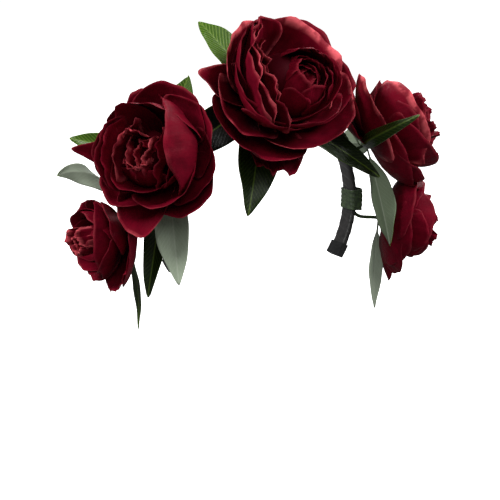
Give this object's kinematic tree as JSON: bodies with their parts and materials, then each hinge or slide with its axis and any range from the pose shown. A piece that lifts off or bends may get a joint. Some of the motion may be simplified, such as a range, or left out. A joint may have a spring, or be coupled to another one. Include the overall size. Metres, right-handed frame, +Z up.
{
  "type": "flower crown",
  "caption": "Flower crown of fabric peonies and wired lance-shaped leaves, taped to a ribbon-wrapped sprung hair band that grips the head from ear to ear.",
  "frame": {"origin": "middle of the ribbon's inner face at the top of the band, where the crown rests on the head", "axes": "+Z up through the top of the band, -Y the way the wearer faces, +X towards the wearer's left ear"},
  "size_m": [0.3241, 0.152, 0.2533],
  "materials": {
    "petal_cloth": "satin cloth",
    "leaf_cloth": "waxed cloth, glossy above and matt below",
    "calyx_cloth": "matt cloth",
    "stem_wire": "paper-wrapped wire",
    "floral_tape": "waxed crepe paper tape",
    "ribbon_cloth": "ribbed ribbon",
    "band_steel": "spring steel",
    "cap_plastic": "moulded"
  },
  "bodies": {
    "crown_middle": {"band_middle": "band_steel", "ribbon_middle": "ribbon_cloth", "top_peony_calyx": "calyx_cloth", "top_peony_guard_petals": "petal_cloth", "top_peony_cup_petals": "petal_cloth", "top_peony_heart": "petal_cloth", "top_peony_stem": "stem_wire", "top_peony_tape": "floral_tape"},
    "left_side": {"band_left": "band_steel", "ribbon_left": "ribbon_cloth", "tip_cap_left": "cap_plastic", "left_temple_peony_calyx": "calyx_cloth", "left_temple_peony_guard_petals": "petal_cloth", "left_temple_peony_cup_petals": "petal_cloth", "left_temple_peony_heart": "petal_cloth", "left_temple_peony_stem": "stem_wire", "left_temple_peony_tape": "floral_tape", "left_ear_peony_calyx": "calyx_cloth", "left_ear_peony_guard_petals": "petal_cloth", "left_ear_peony_cup_petals": "petal_cloth", "left_ear_peony_heart": "petal_cloth", "left_ear_peony_stem": "stem_wire", "left_ear_peony_tape": "floral_tape"},
    "right_side": {"band_right": "band_steel", "ribbon_right": "ribbon_cloth", "tip_cap_right": "cap_plastic", "right_ear_peony_calyx": "calyx_cloth", "right_ear_peony_guard_petals": "petal_cloth", "right_ear_peony_cup_petals": "petal_cloth", "right_ear_peony_heart": "petal_cloth", "right_ear_peony_stem": "stem_wire", "right_ear_peony_tape": "floral_tape", "right_temple_peony_calyx": "calyx_cloth", "right_temple_peony_guard_petals": "petal_cloth", "right_temple_peony_cup_petals": "petal_cloth", "right_temple_peony_heart": "petal_cloth", "right_temple_peony_stem": "stem_wire", "right_temple_peony_tape": "floral_tape"},
    "forehead_leaf_blade": {"forehead_leaf": "leaf_cloth"},
    "gap_leaf_blade": {"gap_leaf": "leaf_cloth"},
    "brow_leaf_blade": {"brow_leaf": "leaf_cloth"},
    "twisted_leaf_blade": {"twisted_leaf": "leaf_cloth"},
    "crest_right_leaf_blade": {"crest_right_leaf": "leaf_cloth"},
    "crest_back_leaf_blade": {"crest_back_leaf": "leaf_cloth"},
    "right_cheek_leaf_blade": {"right_cheek_leaf": "leaf_cloth"},
    "right_jaw_leaf_blade": {"right_jaw_leaf": "leaf_cloth"},
    "right_high_leaf_blade": {"right_high_leaf": "leaf_cloth"},
    "right_back_leaf_blade": {"right_back_leaf": "leaf_cloth"},
    "right_ear_wrap_leaf_blade": {"right_ear_wrap_leaf": "leaf_cloth"},
    "right_ear_long_leaf_blade": {"right_ear_long_leaf": "leaf_cloth"},
    "left_gap_leaf_blade": {"left_gap_leaf": "leaf_cloth"},
    "left_cheek_leaf_blade": {"left_cheek_leaf": "leaf_cloth"},
    "left_high_leaf_blade": {"left_high_leaf": "leaf_cloth"},
    "left_back_leaf_blade": {"left_back_leaf": "leaf_cloth"},
    "left_ear_long_leaf_blade": {"left_ear_long_leaf": "leaf_cloth"}
  },
  "joints": [
    {"name": "left_spread", "type": "hinge", "parent": "crown_middle", "child": "left_side", "pos_m": [0.02658, 0, -0.00165], "axis": [0, -1, 0], "range_deg": [-4, 4], "stiffness_Nm_per_rad": 1.5},
    {"name": "right_spread", "type": "hinge", "parent": "crown_middle", "child": "right_side", "pos_m": [-0.02658, 0, -0.00165], "axis": [0, 1, 0], "range_deg": [-4, 4], "stiffness_Nm_per_rad": 1.5},
    {"name": "forehead_leaf_bend", "type": "hinge", "parent": "crown_middle", "child": "forehead_leaf_blade", "pos_m": [-0.01062, -0.02647, 0.003], "axis": [0.9431, -0.1288, -0.3064], "range_deg": [-2, 18]},
    {"name": "gap_leaf_bend", "type": "hinge", "parent": "crown_middle", "child": "gap_leaf_blade", "pos_m": [-0.01221, -0.02581, 0.00423], "axis": [0.4462, -0.4512, -0.7729], "range_deg": [-2, 4]},
    {"name": "brow_leaf_bend", "type": "hinge", "parent": "crown_middle", "child": "brow_leaf_blade", "pos_m": [-0.00739, -0.02575, 0.00382], "axis": [0.5574, 0.4642, 0.6883], "range_deg": [-2, 14]},
    {"name": "twisted_leaf_bend", "type": "hinge", "parent": "left_side", "child": "twisted_leaf_blade", "pos_m": [0.0962, -0.00661, -0.03984], "axis": [0.2878, -0.3642, -0.8857], "range_deg": [-3, 8]},
    {"name": "crest_right_leaf_bend", "type": "hinge", "parent": "crown_middle", "child": "crest_right_leaf_blade", "pos_m": [-0.01098, -0.02378, 0.00737], "axis": [-0.8897, -0.2815, -0.3595], "range_deg": [-5, 18]},
    {"name": "crest_back_leaf_bend", "type": "hinge", "parent": "crown_middle", "child": "crest_back_leaf_blade", "pos_m": [-0.00819, -0.02372, 0.00717], "axis": [-0.8393, 0.2463, 0.4846], "range_deg": [-18, 8]},
    {"name": "right_cheek_leaf_bend", "type": "hinge", "parent": "right_side", "child": "right_cheek_leaf_blade", "pos_m": [-0.08688, -0.02151, -0.03958], "axis": [0.7138, -0.6774, 0.178], "range_deg": [-10, 6]},
    {"name": "right_jaw_leaf_bend", "type": "hinge", "parent": "right_side", "child": "right_jaw_leaf_blade", "pos_m": [-0.08438, -0.01784, -0.04074], "axis": [0.658, -0.7399, -0.1399], "range_deg": [-5, 3]},
    {"name": "right_high_leaf_bend", "type": "hinge", "parent": "right_side", "child": "right_high_leaf_blade", "pos_m": [-0.08858, -0.01859, -0.03655], "axis": [-0.2748, -0.0772, -0.9584], "range_deg": [-6, 18]},
    {"name": "right_back_leaf_bend", "type": "hinge", "parent": "right_side", "child": "right_back_leaf_blade", "pos_m": [-0.08622, -0.02017, -0.03421], "axis": [-0.6919, 0.722, 0], "range_deg": [-12, 8]},
    {"name": "right_ear_wrap_leaf_bend", "type": "hinge", "parent": "right_side", "child": "right_ear_wrap_leaf_blade", "pos_m": [-0.10953, 0.01053, -0.09639], "axis": [-0.1386, 0.9902, -0.0195], "range_deg": [-10, 12]},
    {"name": "right_ear_long_leaf_bend", "type": "hinge", "parent": "right_side", "child": "right_ear_long_leaf_blade", "pos_m": [-0.10933, 0.01046, -0.10198], "axis": [0.1387, -0.9902, 0.0146], "range_deg": [-15, 15]},
    {"name": "left_gap_leaf_bend", "type": "hinge", "parent": "left_side", "child": "left_gap_leaf_blade", "pos_m": [0.09262, -0.00332, -0.04034], "axis": [-0.147, -0.7941, -0.5898], "range_deg": [-5, 4]},
    {"name": "left_cheek_leaf_bend", "type": "hinge", "parent": "left_side", "child": "left_cheek_leaf_blade", "pos_m": [0.09837, -0.0057, -0.04264], "axis": [-0.2915, 0.8608, -0.4172], "range_deg": [-3, 15]},
    {"name": "left_high_leaf_bend", "type": "hinge", "parent": "left_side", "child": "left_high_leaf_blade", "pos_m": [0.09656, -0.00407, -0.03776], "axis": [-0.4619, -0.877, -0.1325], "range_deg": [-6, 15]},
    {"name": "left_back_leaf_bend", "type": "hinge", "parent": "left_side", "child": "left_back_leaf_blade", "pos_m": [0.09923, -0.00194, -0.04013], "axis": [-0.3991, 0.1929, 0.8964], "range_deg": [-15, 15]},
    {"name": "left_ear_long_leaf_bend", "type": "hinge", "parent": "left_side", "child": "left_ear_long_leaf_blade", "pos_m": [0.11248, -0.00261, -0.10599], "axis": [-0.3327, 0.9412, 0.059], "range_deg": [-2, 18]}
  ],
  "couplings": [
    {"joint": "right_spread", "follows": "left_spread", "ratio": 1}
  ]
}
